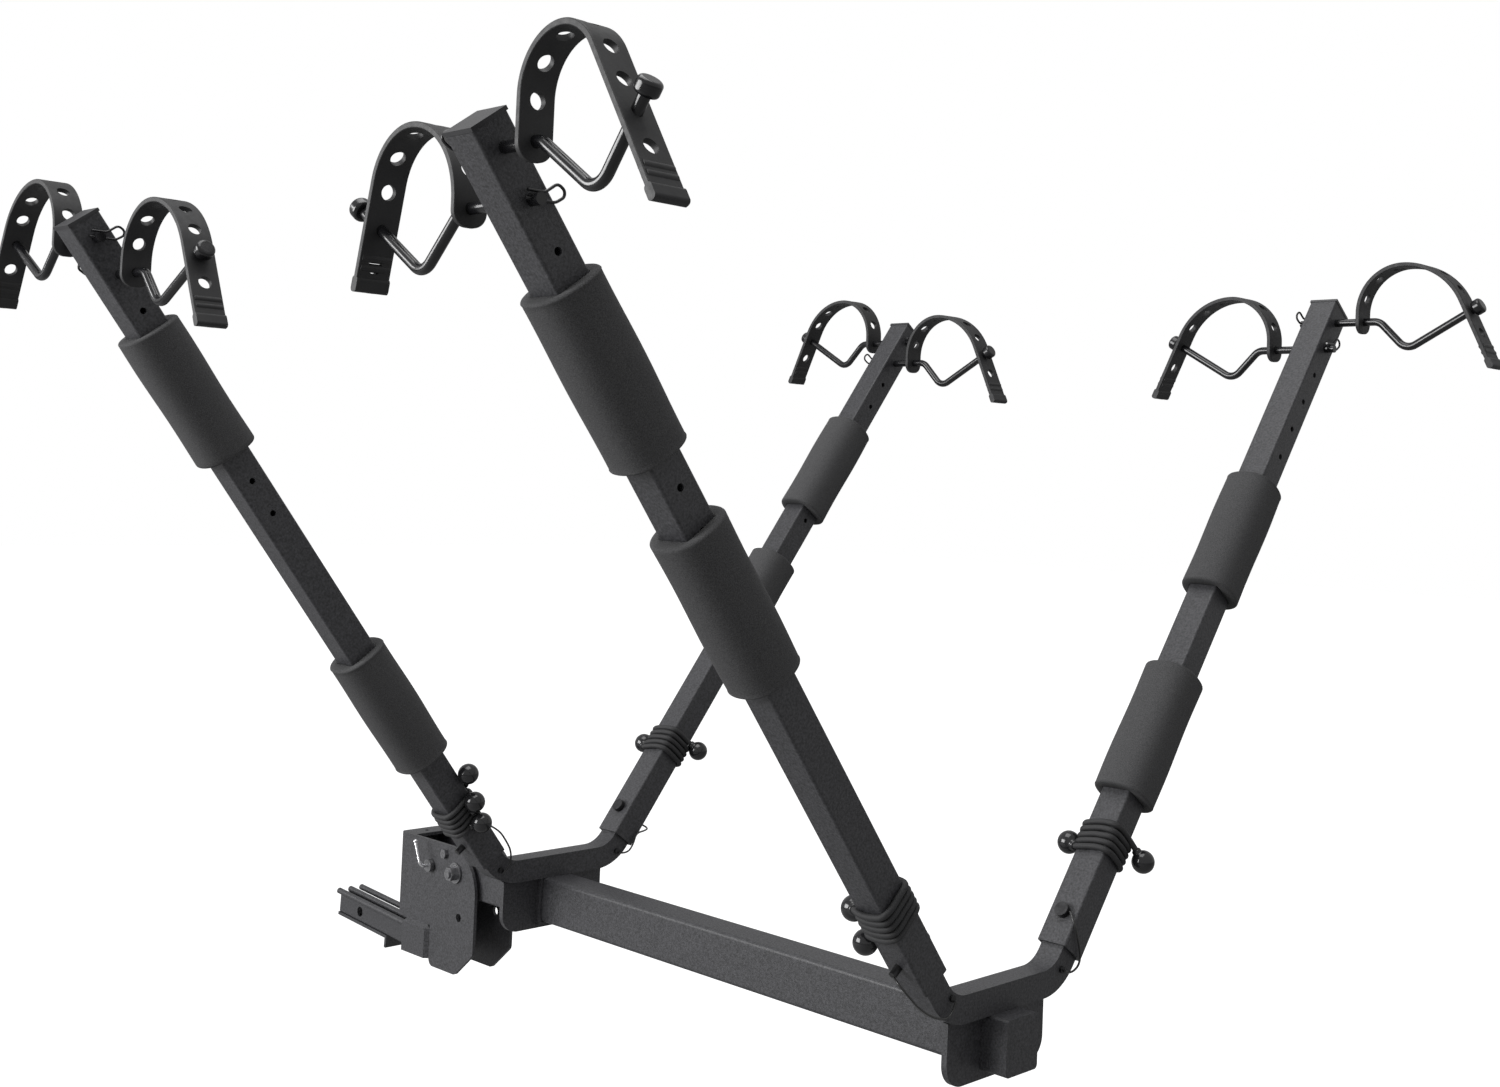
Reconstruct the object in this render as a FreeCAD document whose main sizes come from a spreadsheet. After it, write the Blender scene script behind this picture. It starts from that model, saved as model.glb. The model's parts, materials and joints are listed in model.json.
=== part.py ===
"""Hitch mounted bike rack: a folding hitch bracket, a square beam and two V-shaped pairs of arms.

Frame, in millimetres: the origin is the centre of the hitch pin hole, +X runs rearwards along the
beam, +Y is the right side of the rack and +Z is up.
"""

import FreeCAD, Part

import math
import os
import Sketcher

V = FreeCAD.Vector
os.makedirs("parts", exist_ok=True)
doc = FreeCAD.newDocument("bike_rack")

# Driving dimensions, in millimetres and degrees.
SIZES = {
    "insert_side": 31.75, "insert_wall": 3.2, "insert_length": 268.0, "insert_tip_x": -62.0,
    "insert_tilt": 3.8, "hitch_pin_radius": 8.1, "tube_corner": 3.0,
    "collar_left_x": 168.0, "collar_right_x": 236.0, "collar_half_width": 42.0,
    "collar_bottom_z": -22.0, "collar_top_z": 29.0,
    "collar_wall": 8.0, "collar_bevel": 6.0,
    "rod_radius": 4.75, "rod_start": 2.0,
    "strip_width": 34.0, "strip_thick": 5.0, "strip_length": 150.0,
    "bracket_left_x": 142.5, "bracket_right_x": 352.0, "bracket_top_z": 159.0,
    "bracket_half_width": 36.0, "bracket_plate": 5.0, "bracket_tip_x": 307.0,
    "bracket_tip_z": -32.0, "bracket_shoulder_z": 6.0, "bracket_nose_radius": 68.0,
    "bracket_heel_x": 236.0, "bracket_heel_z": 29.0, "bracket_strip": 37.0, "bracket_bend": 9.0,
    "bracket_edge": 11.0, "stop_x": 270.0, "stop_z": 145.0, "stop_radius": 4.0,
    "pivot_x": 300.0, "pivot_z": 121.0, "pivot_bolt_radius": 6.3, "pivot_bore_radius": 6.4,
    "bushing_radius": 12.7, "washer_radius": 15.5, "washer_thick": 3.0, "nut_flats": 19.0,
    "lock_radius": 67.0, "lock_pin_radius": 6.35, "lock_bore_radius": 6.43, "stow_angle": 100.0,
    "lock_seat_drop": 6.75, "lock_slot_right": 57.0, "lock_head_radius": 9.5, "bail_radius": 2.4,
    "tongue_heel": 18.0,
    "tongue_side": 50.8, "tongue_wall": 4.8, "tongue_left_x": 222.0,
    "beam_width": 50.8, "beam_height": 63.5, "beam_wall": 3.2, "beam_bottom_z": 86.0,
    "beam_corner": 5.0, "plate_thick": 8.0, "plate_half_width": 87.0, "plate_bottom_z": 76.0,
    "plate_corner": 27.0, "socket_half_width": 28.5, "socket_length": 41.0, "rib_width": 10.0,
    "rib_proud": 4.0,
    "front_x": 491.0, "rear_x": 1321.0, "cross_side": 31.75, "cross_wall": 3.0,
    "cross_corner_y": 98.0, "cross_bend": 55.0, "cross_leg": 150.0,
    "arm_side": 41.3, "arm_wall": 3.0, "arm_length": 1030.0, "arm_angle": 36.88,
    "arm_start": 36.0, "hole_pitch": 50.0, "hole_first": 25.0, "hole_count": 9.0,
    "hole_radius": 4.0, "stem_bore_radius": 5.58, "cap_thick": 4.0, "cap_proud": 0.6,
    "pad_radius": 39.2, "pad_length": 182.0, "pad_clear": 0.4,
    "stem_radius": 5.5, "stem_reach": 35.0, "hook_bend": 20.0, "hook_fit": 0.15,
    "knob_radius": 11.0, "knob_length": 14.0, "clip_x": 27.0, "clip_radius": 1.4,
    "strap_wide": 35.0, "strap_thick": 6.0, "strap_hole": 7.5,
    "strap_lip": 17.0, "strap_rim": 1.2, "tab_length": 15.0, "tab_thick": 9.0,
    "rib_radius": 4.3, "rib_step": 9.0,
    "arm_pin_radius": 4.7, "arm_pin_bore": 4.78, "arm_pin_up": 40.0, "arm_pin_head": 9.0,
    "coil_high": 42.0, "coil_thick": 7.6, "coil_clear": 0.4, "ball_radius": 14.5,
    "cable_radius": 1.3, "rivet_radius": 4.0, "rivet_high": 3.0,
}
sheet = doc.addObject("Spreadsheet::Sheet", "sizes")
for row, (alias, value) in enumerate(SIZES.items(), start=1):
    sheet.set(f"A{row}", alias)
    sheet.set(f"B{row}", str(value))
    sheet.setAlias(f"B{row}", alias)
doc.recompute()


def size(alias):
    """The value of one cell of the sheet."""
    return float(sheet.get(alias))


# Values that several sub-parts share.
ARM_ANGLE = math.radians(size("arm_angle"))
CROSS_Z = size("beam_bottom_z") + size("beam_height") + size("cross_side") / 2
LOCK_X = size("pivot_x") - size("lock_radius")
STATIONS = {"front": size("front_x"), "rear": size("rear_x")}
SIDES = {"left": -1, "right": 1}
OUTWARD = {"front": -1, "rear": 1}
# How far each arm is drawn out beyond its fully seated place.
SEAT = {"front_left": -6.0, "front_right": -6.0, "rear_left": 14.0, "rear_right": 0.0}
# The middle of each pad and of each elastic tie, measured down from the arm's top.
PADS = {
    "front_left": (241.0, 749.0),
    "front_right": (317.0, 600.0),
    "rear_left": (247.0, 512.0),
    "rear_right": (420.0, 731.0),
}
TIES = {"front_left": 941.0, "front_right": 870.0, "rear_left": 925.0, "rear_right": 890.0}
# The balls on each tie: along X, along the arm's inner normal, and up the arm from its tie.
BALLS = {
    "front_left": ((33.0, 28.5, 49.0), (35.5, 13.7, 11.0), (35.5, 6.1, -21.0)),
    "front_right": ((34.0, -31.4, 16.4), (-35.5, 14.6, -8.5)),
    "rear_left": ((-35.5, -11.9, 5.0), (-35.5, -19.3, -38.7)),
    "rear_right": ((38.0, -35.7, 5.5), (-35.5, 17.8, -11.7)),
}
# The lanyards' routes, as points across the arm, along its inner normal and up it from the corner.
LANYARDS = {
    "front_left": (
        (10.9, 24.2, 70), (20, 28, 60), (24, 27, 42), (24, 25, 22), (22, 13, 5), (20.9, 0, 4),
    ),
    "front_right": (
        (3, -34.0, 70), (14, -37, 69), (24, -26, 60), (24, -13, 48), (24, -19, 32), (22, -19, 16),
        (20.9, -5, 9),
    ),
    "rear_left": (
        (3, -34.0, 90), (14, -41, 96), (24, -43, 80), (24, -38, 52), (24, -25, 22), (21, -4, 0),
        (20.9, 11, 10),
    ),
    "rear_right": (
        (10.9, 24.2, 76), (22.2, 25.6, 66), (24, 8, 53), (24, -11, 40), (24, -15, 27), (21, -8, 14),
        (20.9, 2, 13),
    ),
}
# Where each lanyard's rivet sits on the crossbar, along the inner normal and up the arm.
RIVETS = {
    "front_left": (0.0, 8.0), "front_right": (-3.0, 10.0),
    "rear_left": (11.0, 13.0), "rear_right": (3.0, 13.0),
}
# Each rod's first bend, low bend and end, from the stem. Two on the rear left are bent otherwise.
ROD = ((88.0, 0.0), (129.6, -41.6), (232.0, 15.3))
BENT_RODS = {
    "rear_left_outer": ((73.0, 0.0), (150.0, -50.0), (206.0, 27.0)),
    "rear_left_inner": ((84.0, 0.0), (140.0, -55.0), (252.0, 14.0)),
}
# Each strap's distance from the arm, rise, two arcs, final lean and length of straight tail.
STRAP = (62.0, 12.0, 66.0, 95.0, 64.6, 104.0)
BENT_STRAPS = {
    "rear_left_outer": (62.0, 36.0, 52.0, 48.0, 57.5, 155.0),
    "rear_left_inner": (72.0, 5.0, 76.0, 60.0, 76.0, 106.0),
}
parts = []


def keep(obj, label):
    """Gives a finished sub-part its name and puts it on the list to export."""
    obj.Label = label
    parts.append(obj)
    return obj


def bind(obj, **sizes):
    for name, expression in sizes.items():
        obj.setExpression(name, str(expression).replace("$", "sizes."))


def body(name):
    return doc.addObject("PartDesign::Body", name + "_body")


def sketch_on(owner, role, name):
    plane = next(f for f in owner.Origin.OriginFeatures if f.Role == role)
    sketch = owner.newObject("Sketcher::SketchObject", name)
    sketch.AttachmentSupport = [(plane, "")]
    sketch.MapMode = "FlatFace"
    return sketch


def add_rectangle(sketch, width, height, name):
    """A rectangle centred on the sketch's origin, with its two sizes bound to the sheet."""
    first = sketch.GeometryCount
    corners = [V(-10, -5, 0), V(10, -5, 0), V(10, 5, 0), V(-10, 5, 0)]
    for i in range(4):
        sketch.addGeometry(Part.LineSegment(corners[i], corners[(i + 1) % 4]), False)
    for i in range(4):
        sketch.addConstraint(Sketcher.Constraint("Coincident", first + i, 2, first + (i + 1) % 4, 1))
    for i, kind in enumerate(("Horizontal", "Vertical", "Horizontal", "Vertical")):
        sketch.addConstraint(Sketcher.Constraint(kind, first + i))
    sketch.addConstraint(Sketcher.Constraint("Symmetric", first, 1, first + 1, 2, -1, 1))
    for axis, line, expression in (("X", 0, width), ("Y", 1, height)):
        at = sketch.addConstraint(
            Sketcher.Constraint("Distance" + axis, first + line, 1, first + line, 2, 10.0)
        )
        sketch.renameConstraint(at, f"{name}{axis}")
        bind(sketch, **{f"Constraints.{name}{axis}": expression})


def add_circle(sketch, across, up, radius, name):
    """A circle whose radius and place are bound to the sheet, given as numbers or expressions."""
    circle = sketch.addGeometry(Part.Circle(V(1, 1, 0), V(0, 0, 1), 3.0), False)
    at = sketch.addConstraint(Sketcher.Constraint("Radius", circle, 3.0))
    sketch.renameConstraint(at, name + "R")
    bind(sketch, **{f"Constraints.{name}R": radius})
    for axis, expression in (("X", across), ("Y", up)):
        at = sketch.addConstraint(
            Sketcher.Constraint("Distance" + axis, -1, 1, circle, 3, 1.0)
        )
        sketch.renameConstraint(at, name + axis)
        bind(sketch, **{f"Constraints.{name}{axis}": expression})


def add_outline(sketch, corners, name):
    """A closed outline of straight sides, each corner bound to the sheet by its two expressions."""
    first = sketch.GeometryCount
    count = len(corners)
    ring = [V(90 * math.cos(math.tau * i / count), 90 * math.sin(math.tau * i / count), 0)
            for i in range(count)]
    for i in range(count):
        sketch.addGeometry(Part.LineSegment(ring[i], ring[(i + 1) % count]), False)
    for i in range(count):
        sketch.addConstraint(
            Sketcher.Constraint("Coincident", first + i, 2, first + (i + 1) % count, 1)
        )
    for i, corner in enumerate(corners):
        for axis, expression, start in (("X", corner[0], ring[i].x), ("Y", corner[1], ring[i].y)):
            at = sketch.addConstraint(
                Sketcher.Constraint("Distance" + axis, -1, 1, first + i, 1, start)
            )
            sketch.renameConstraint(at, f"{name}{i}{axis}")
            bind(sketch, **{f"Constraints.{name}{i}{axis}": expression})


def pad(owner, sketch, length, name, both_ways=False):
    feature = owner.newObject("PartDesign::Pad", name)
    feature.Profile = sketch
    bind(feature, Length=length)
    if both_ways:
        feature.SideType = "Symmetric"
    sketch.Visibility = False
    doc.recompute()
    return feature


def pocket_through(owner, sketch, name):
    """Cuts the sketch through the whole body, both ways, and checks that it cut something."""
    before = owner.Shape.Volume
    feature = owner.newObject("PartDesign::Pocket", name)
    feature.Profile = sketch
    feature.Type = "ThroughAll"
    feature.SideType = "Symmetric"
    doc.recompute()
    if owner.Shape.Volume > before - 1.0:
        raise RuntimeError(name + " cut nothing")
    return feature


def round_edges(owner, feature, radius, name, wanted):
    """Fillets the edges of a feature for which wanted(edge) is true."""
    names = [f"Edge{i + 1}" for i, e in enumerate(feature.Shape.Edges) if wanted(e)]
    fillet = owner.newObject("PartDesign::Fillet", name)
    fillet.Base = (feature, names)
    bind(fillet, Radius=radius)
    doc.recompute()
    return fillet


def runs_along(edge, direction):
    return edge.Length > 2.0 and abs(abs(edge.tangentAt(edge.FirstParameter).dot(direction)) - 1) < 1e-6


def square_tube(name, width, height, wall, length, corner, outer_half):
    """A rounded rectangular tube along its body's +Z, with its outer long edges rounded."""
    owner = body(name)
    profile = sketch_on(owner, "XY_Plane", name + "_profile")
    add_rectangle(profile, width, height, "outer")
    add_rectangle(profile, f"{width} - 2 * {wall}", f"{height} - 2 * {wall}", "inner")
    tube = pad(owner, profile, length, name + "_pad")
    limit = outer_half - 0.5

    def is_outer(edge):
        middle = edge.CenterOfMass
        return runs_along(edge, V(0, 0, 1)) and max(abs(middle.x), abs(middle.y)) > limit

    round_edges(owner, tube, corner, name + "_corners", is_outer)
    return owner


def primitive(kind, name, place, turn=None, **sizes):
    obj = doc.addObject("Part::" + kind, name)
    bind(obj, **sizes)
    obj.Placement = FreeCAD.Placement(V(*place), turn or FreeCAD.Rotation())
    return obj


def combine(kind, name, base, tool):
    obj = doc.addObject("Part::" + kind, name)
    obj.Base = base
    obj.Tool = tool
    return obj


def feature_of(shape, label, placement=None):
    obj = doc.addObject("Part::Feature", label + "_shape")
    obj.Shape = shape
    if placement:
        obj.Placement = placement
    return keep(obj, label)


ALONG_X = FreeCAD.Rotation(V(0, 0, 1), V(1, 0, 0))
ALONG_Y = FreeCAD.Rotation(V(0, 0, 1), V(0, 1, 0))


def tube_along_x(start_x, centre_z, roll=0.0, centre_y=0.0):
    """Places a body made along +Z so that it runs along +X with its own X axis along +Y."""
    rotation = FreeCAD.Rotation(V(0, 1, 0), V(0, 0, 1), V(1, 0, 0), "ZXY")
    return FreeCAD.Placement(V(start_x, centre_y, centre_z), rotation)


def rounded_path(points, radii):
    """A wire of straight runs joined by tangent arcs, one radius for each corner."""
    edges = []
    start = points[0]
    for i in range(1, len(points) - 1):
        corner = points[i]
        back = (points[i - 1] - corner).normalize()
        ahead = (points[i + 1] - corner).normalize()
        half = math.pi / 2 - back.getAngle(ahead) / 2
        reach = radii[i - 1] * math.tan(half)
        first = corner + back * reach
        last = corner + ahead * reach
        centre_way = (back + ahead).normalize()
        middle = corner + centre_way * (radii[i - 1] / math.cos(half) - radii[i - 1])
        edges.append(Part.LineSegment(start, first).toShape())
        edges.append(Part.Arc(first, middle, last).toShape())
        start = last
    edges.append(Part.LineSegment(start, points[-1]).toShape())
    return Part.Wire(edges)


def round_bar(points, radii, radius):
    """A round bar along a path of runs and arcs, with its volume compared with its length."""
    path = rounded_path(points, radii)
    ahead = (points[1] - points[0]).normalize()
    profile = Part.Wire([Part.Circle(points[0], ahead, radius).toShape()])
    solid = path.makePipeShell([profile], True, True)
    expected = math.pi * radius * radius * path.Length
    if abs(solid.Volume - expected) > 0.02 * expected:
        raise RuntimeError(f"bar volume {solid.Volume:.1f}, expected {expected:.1f}")
    return solid


def free_radii(points, least):
    """The radius at each corner of a hanging cable: 0.45 of the shorter run over tan(half the turn)."""
    radii = []
    for i in range(1, len(points) - 1):
        back = points[i - 1] - points[i]
        ahead = points[i + 1] - points[i]
        half = (math.pi - back.getAngle(ahead)) / 2
        radii.append(max(least, 0.45 * min(back.Length, ahead.Length) / math.tan(half)))
    return radii


# Where things sit on an arm.
def corner_of(arm):
    """The corner where an arm's centreline would meet the crossbar's."""
    station, side = arm.split("_")
    return V(STATIONS[station], SIDES[side] * size("cross_corner_y"), CROSS_Z)


def up_arm(arm):
    side = SIDES[arm.split("_")[1]]
    return V(0, side * math.sin(ARM_ANGLE), math.cos(ARM_ANGLE))


def inner_normal(arm):
    side = SIDES[arm.split("_")[1]]
    return V(0, -side * math.cos(ARM_ANGLE), math.sin(ARM_ANGLE))


def arm_foot(arm):
    """How far up from the corner the arm's tube begins."""
    return size("arm_start") + SEAT[arm]


def on_arm(arm, across, inward, along):
    """A point at given distances along X, the inner normal and the arm, from the corner."""
    return corner_of(arm) + V(across, 0, 0) + inner_normal(arm) * inward + up_arm(arm) * along


def below_top(arm, distance):
    return arm_foot(arm) + size("arm_length") - distance


def arm_turn(arm):
    return FreeCAD.Rotation(V(1, 0, 0), -SIDES[arm.split("_")[1]] * size("arm_angle"))


# The hitch insert: a square tube that rises slightly towards the vehicle.
TILT = math.radians(size("insert_tilt"))
INSERT_TURN = FreeCAD.Rotation(V(0, 1, 0), 90 + size("insert_tilt"))
INSERT_START = V(size("insert_tip_x"), 0, -size("insert_tip_x") * math.tan(TILT))


def along_insert(distance, across, up):
    """A point of the tilted insert, measured from its front end."""
    return INSERT_START + INSERT_TURN.multVec(V(-up, across, distance))


insert_half = size("insert_side") / 2
insert_tube = square_tube(
    "insert_tube", "$insert_side", "$insert_side", "$insert_wall", "$insert_length", "$tube_corner",
    insert_half,
)
pin_sketch = sketch_on(insert_tube, "XZ_Plane", "hitch_pin_sketch")
add_circle(pin_sketch, 0, "-$insert_tip_x / cos($insert_tilt)", "$hitch_pin_radius", "pin")
insert_tube.Tip = pocket_through(insert_tube, pin_sketch, "hitch_pin_bore")
insert_tube.Placement = FreeCAD.Placement(INSERT_START, INSERT_TURN)
keep(insert_tube, "insert_tube")

# The collar that carries the insert below the bracket: a thick cover, open underneath.
collar_body = body("collar")
collar_sketch = sketch_on(collar_body, "XY_Plane", "collar_outline")
add_rectangle(collar_sketch, "$collar_right_x - $collar_left_x", "2 * $collar_half_width", "collar")
collar_pad = pad(collar_body, collar_sketch, "$collar_top_z - $collar_bottom_z", "collar_block")
collar_high = size("collar_top_z") - size("collar_bottom_z")
collar_bevels = [
    f"Edge{i + 1}" for i, e in enumerate(collar_pad.Shape.Edges)
    if e.CenterOfMass.z > collar_high - 0.1 or (e.CenterOfMass.x > 1 and runs_along(e, V(0, 0, 1)))
]
collar_chamfer = collar_body.newObject("PartDesign::Chamfer", "collar_bevels")
collar_chamfer.Base = (collar_pad, collar_bevels)
bind(collar_chamfer, Size="$collar_bevel")
collar_mid_x = (size("collar_left_x") + size("collar_right_x")) / 2
collar_body.Placement = FreeCAD.Placement(V(collar_mid_x, 0, size("collar_bottom_z")), FreeCAD.Rotation())
collar_hollow = primitive(
    "Box", "collar_hollow",
    (size("collar_left_x") + size("collar_wall"), size("collar_wall") - size("collar_half_width"),
     size("collar_bottom_z") - 1),
    Length="$collar_right_x - $collar_left_x - 2 * $collar_wall",
    Width="2 * $collar_half_width - 2 * $collar_wall",
    Height="$collar_top_z - $collar_bottom_z - $collar_wall + 1",
)
insert_space = primitive(
    "Box", "insert_space", along_insert(0, -insert_half, insert_half), INSERT_TURN,
    Length="$insert_side", Width="$insert_side", Height="$insert_length + 60",
)
collar_open = combine("Cut", "collar_open", collar_body, collar_hollow)
keep(combine("Cut", "collar_cut", collar_open, insert_space), "insert_collar")

# Three rods that pad the insert out to the width and height of a larger receiver.
ROD_GAP = 0.4
rod_end = (size("collar_left_x") - size("insert_tip_x")) / math.cos(TILT) - ROD_GAP
rod_out = insert_half + size("rod_radius")
rod_reach = rod_end - (rod_out + size("rod_radius")) * math.tan(TILT)
rods = []
for name, across in (("left", -rod_out), ("middle", 0.0), ("right", rod_out)):
    rods.append(primitive(
        "Cylinder", "adapter_rod_" + name, along_insert(size("rod_start"), across, rod_out),
        INSERT_TURN, Radius="$rod_radius", Height=f"{rod_reach} - $rod_start",
    ))
adapter_rods = doc.addObject("Part::Compound", "adapter_rods_set")
adapter_rods.Links = rods
keep(adapter_rods, "adapter_rods")

# The strip under the insert, with its end turned down.
strip_top = -insert_half
strip_flat = primitive(
    "Box", "strip_flat", along_insert(-2, -size("strip_width") / 2, strip_top), INSERT_TURN,
    Length="$strip_thick", Width="$strip_width", Height="$strip_length",
)
strip_tab = primitive(
    "Box", "strip_tab",
    along_insert(size("strip_length") - 2 - size("strip_thick"), -size("strip_width") / 2, strip_top),
    INSERT_TURN, Length="4 * $strip_thick", Width="$strip_width", Height="$strip_thick",
)
keep(combine("Fuse", "adapter_plate_fused", strip_flat, strip_tab), "adapter_plate")

# The bracket: a folded channel with its outline drawn about the pivot.
bracket = body("tilt_bracket")
outline = sketch_on(bracket, "XZ_Plane", "bracket_outline")
add_outline(outline, (
    ("$bracket_left_x - $pivot_x", "$bracket_top_z - $pivot_z"),
    ("$bracket_right_x - $pivot_x", "$bracket_top_z - $pivot_z"),
    ("$bracket_right_x - $pivot_x", "$bracket_shoulder_z - $pivot_z"),
    ("$bracket_tip_x - $pivot_x", "$bracket_tip_z - $pivot_z"),
    ("$bracket_heel_x - $pivot_x", "$bracket_tip_z - $pivot_z"),
    ("$bracket_heel_x - $pivot_x", "$bracket_heel_z - $pivot_z"),
    ("$bracket_left_x - $pivot_x", "$bracket_heel_z - $pivot_z"),
), "edge")
blank = pad(bracket, outline, "2 * $bracket_half_width", "bracket_blank", both_ways=True)
nose_x = size("bracket_right_x") - size("pivot_x") - 0.5
nose_z = size("bracket_top_z") - size("pivot_z") - 0.5


def is_nose(edge):
    middle = edge.CenterOfMass
    return runs_along(edge, V(0, 1, 0)) and middle.x > nose_x and middle.z > nose_z


def is_lower_corner(edge):
    middle = edge.CenterOfMass
    return runs_along(edge, V(0, 1, 0)) and middle.z < size("bracket_heel_z") - size("pivot_z") - 5


nose = round_edges(bracket, blank, "$bracket_nose_radius", "bracket_nose", is_nose)
lower = round_edges(bracket, nose, "$bracket_edge", "bracket_lower_corners", is_lower_corner)
fold_x = size("bracket_left_x") - size("pivot_x") + 0.5


def is_fold(edge):
    return runs_along(edge, V(0, 0, 1)) and edge.CenterOfMass.x < fold_x


folds = round_edges(bracket, lower, "$bracket_bend", "bracket_folds", is_fold)
channel = sketch_on(bracket, "XY_Plane", "channel_sketch")
add_outline(channel, (
    ("$bracket_left_x + $bracket_plate - $pivot_x", "$bracket_plate - $bracket_half_width"),
    ("$bracket_right_x + 20 - $pivot_x", "$bracket_plate - $bracket_half_width"),
    ("$bracket_right_x + 20 - $pivot_x", "$bracket_half_width - $bracket_plate"),
    ("$bracket_left_x + $bracket_plate - $pivot_x", "$bracket_half_width - $bracket_plate"),
), "inside")
pocket_through(bracket, channel, "bracket_channel")
strip = sketch_on(bracket, "XZ_Plane", "top_strip_sketch")
add_outline(strip, (
    ("$bracket_left_x + $bracket_plate - 1 - $pivot_x", "$bracket_top_z - $bracket_plate - $pivot_z"),
    ("$bracket_left_x + $bracket_strip - $pivot_x", "$bracket_top_z - $bracket_plate - $pivot_z"),
    ("$bracket_left_x + $bracket_strip - $pivot_x", "$bracket_top_z - $pivot_z"),
    ("$bracket_left_x + $bracket_plate - 1 - $pivot_x", "$bracket_top_z - $pivot_z"),
), "strip")
pad(bracket, strip, "2 * $bracket_half_width - $bracket_plate", "bracket_top_strip", both_ways=True)
holes = sketch_on(bracket, "XZ_Plane", "bracket_holes")
add_circle(holes, 0, 0, "$pivot_bore_radius", "pivot")
add_circle(holes, "-$lock_radius", 0, "$lock_bore_radius", "lock")
add_circle(
    holes, "$lock_radius * cos(180 + $stow_angle)", "$lock_radius * sin(180 + $stow_angle)",
    "$lock_bore_radius", "stow",
)
add_circle(holes, "$stop_x - $pivot_x", "$stop_z - $pivot_z", "$stop_radius", "stop")
pocket_through(bracket, holes, "bracket_hole_pocket")
strip_hole = sketch_on(bracket, "XY_Plane", "strip_hole_sketch")
add_circle(strip_hole, "$bracket_left_x + 20 - $pivot_x", 0, "$hole_radius", "strip_hole")
bracket.Tip = pocket_through(bracket, strip_hole, "strip_hole_pocket")
bracket.Placement = FreeCAD.Placement(V(size("pivot_x"), 0, size("pivot_z")), FreeCAD.Rotation())
keep(bracket, "tilt_bracket")

# The pivot bolt with its washers and nut, and the small stop bolt above the tongue.
flange_y = size("bracket_half_width")
washer_y = flange_y + size("washer_thick")
pivot = (size("pivot_x"), size("pivot_z"))
NUT_LENGTH = 11.0
HEAD_LENGTH = 8.0
THREAD_PROUD = 3.0
bolt_start = washer_y + NUT_LENGTH + THREAD_PROUD
pivot_shank = primitive(
    "Cylinder", "pivot_shank", (pivot[0], -bolt_start, pivot[1]), ALONG_Y,
    Radius="$pivot_bolt_radius",
    Height=f"2 * ($bracket_half_width + $washer_thick) + {NUT_LENGTH + THREAD_PROUD + 1}",
)
pivot_head = primitive(
    "Prism", "pivot_head", (pivot[0], washer_y, pivot[1]), ALONG_Y,
    Circumradius="$nut_flats / 2 / cos(30)", Height=HEAD_LENGTH,
)
keep(combine("Fuse", "pivot_bolt_fused", pivot_shank, pivot_head), "pivot_bolt")
nut_block = primitive(
    "Prism", "nut_block", (pivot[0], -washer_y - NUT_LENGTH, pivot[1]), ALONG_Y,
    Circumradius="$nut_flats / 2 / cos(30)", Height=NUT_LENGTH,
)
nut_bore = primitive(
    "Cylinder", "nut_bore", (pivot[0], -washer_y - NUT_LENGTH - 1, pivot[1]), ALONG_Y,
    Radius="$pivot_bore_radius", Height=NUT_LENGTH + 2,
)
keep(combine("Cut", "pivot_nut_cut", nut_block, nut_bore), "pivot_nut")
washers = []
for name, low_y in (("left", -washer_y), ("right", flange_y)):
    ring = primitive(
        "Cylinder", "washer_ring_" + name, (pivot[0], low_y, pivot[1]), ALONG_Y,
        Radius="$washer_radius", Height="$washer_thick",
    )
    bore = primitive(
        "Cylinder", "washer_bore_" + name, (pivot[0], low_y - 1, pivot[1]), ALONG_Y,
        Radius="$pivot_bore_radius", Height="$washer_thick + 2",
    )
    washers.append(combine("Cut", "washer_" + name, ring, bore))
washer_set = doc.addObject("Part::Compound", "washer_set")
washer_set.Links = washers
keep(washer_set, "pivot_washers")

STOP_HEAD = 5.5
stop_shank = primitive(
    "Cylinder", "stop_shank", (size("stop_x"), -flange_y - 1, size("stop_z")), ALONG_Y,
    Radius="$stop_radius - 0.05", Height="2 * $bracket_half_width + 2",
)
stop_heads = []
for name, low_y in (("left", -flange_y - STOP_HEAD), ("right", flange_y)):
    stop_heads.append(primitive(
        "Prism", "stop_head_" + name, (size("stop_x"), low_y, size("stop_z")), ALONG_Y,
        Circumradius="$stop_radius * 1.85", Height=STOP_HEAD,
    ))
stop_bolt = doc.addObject("Part::MultiFuse", "stop_bolt_fused")
stop_bolt.Shapes = [stop_shank] + stop_heads
keep(stop_bolt, "stop_bolt")

# The lock pin and its bent handle, both drawn out to the left.
lock_z = size("pivot_z")
LOCK_HEAD = 7.0
LOCK_TIP = 12.0
lock_shank = primitive(
    "Cylinder", "lock_shank", (LOCK_X, -flange_y - 1.5, lock_z), ALONG_Y,
    Radius="$lock_pin_radius", Height=f"2 * $bracket_half_width + {LOCK_TIP + 1.5}",
)
lock_head = primitive(
    "Cylinder", "lock_head", (LOCK_X, -flange_y - 1 - LOCK_HEAD, lock_z), ALONG_Y,
    Radius="$lock_head_radius", Height=LOCK_HEAD,
)
keep(combine("Fuse", "lock_pin_fused", lock_shank, lock_head), "lock_pin")
bail_start = V(LOCK_X, -flange_y - 1 - LOCK_HEAD, lock_z)
bail_out = bail_start + V(0, -12, 0)
bail_end = bail_out + V(-17, 0, 36)
bail = round_bar([bail_start, bail_out, bail_end], [8.0], size("bail_radius"))
bail_knob = Part.makeSphere(size("bail_radius") + 1.0, bail_end)
feature_of(bail.fuse(bail_knob), "lock_pin_handle")

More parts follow.
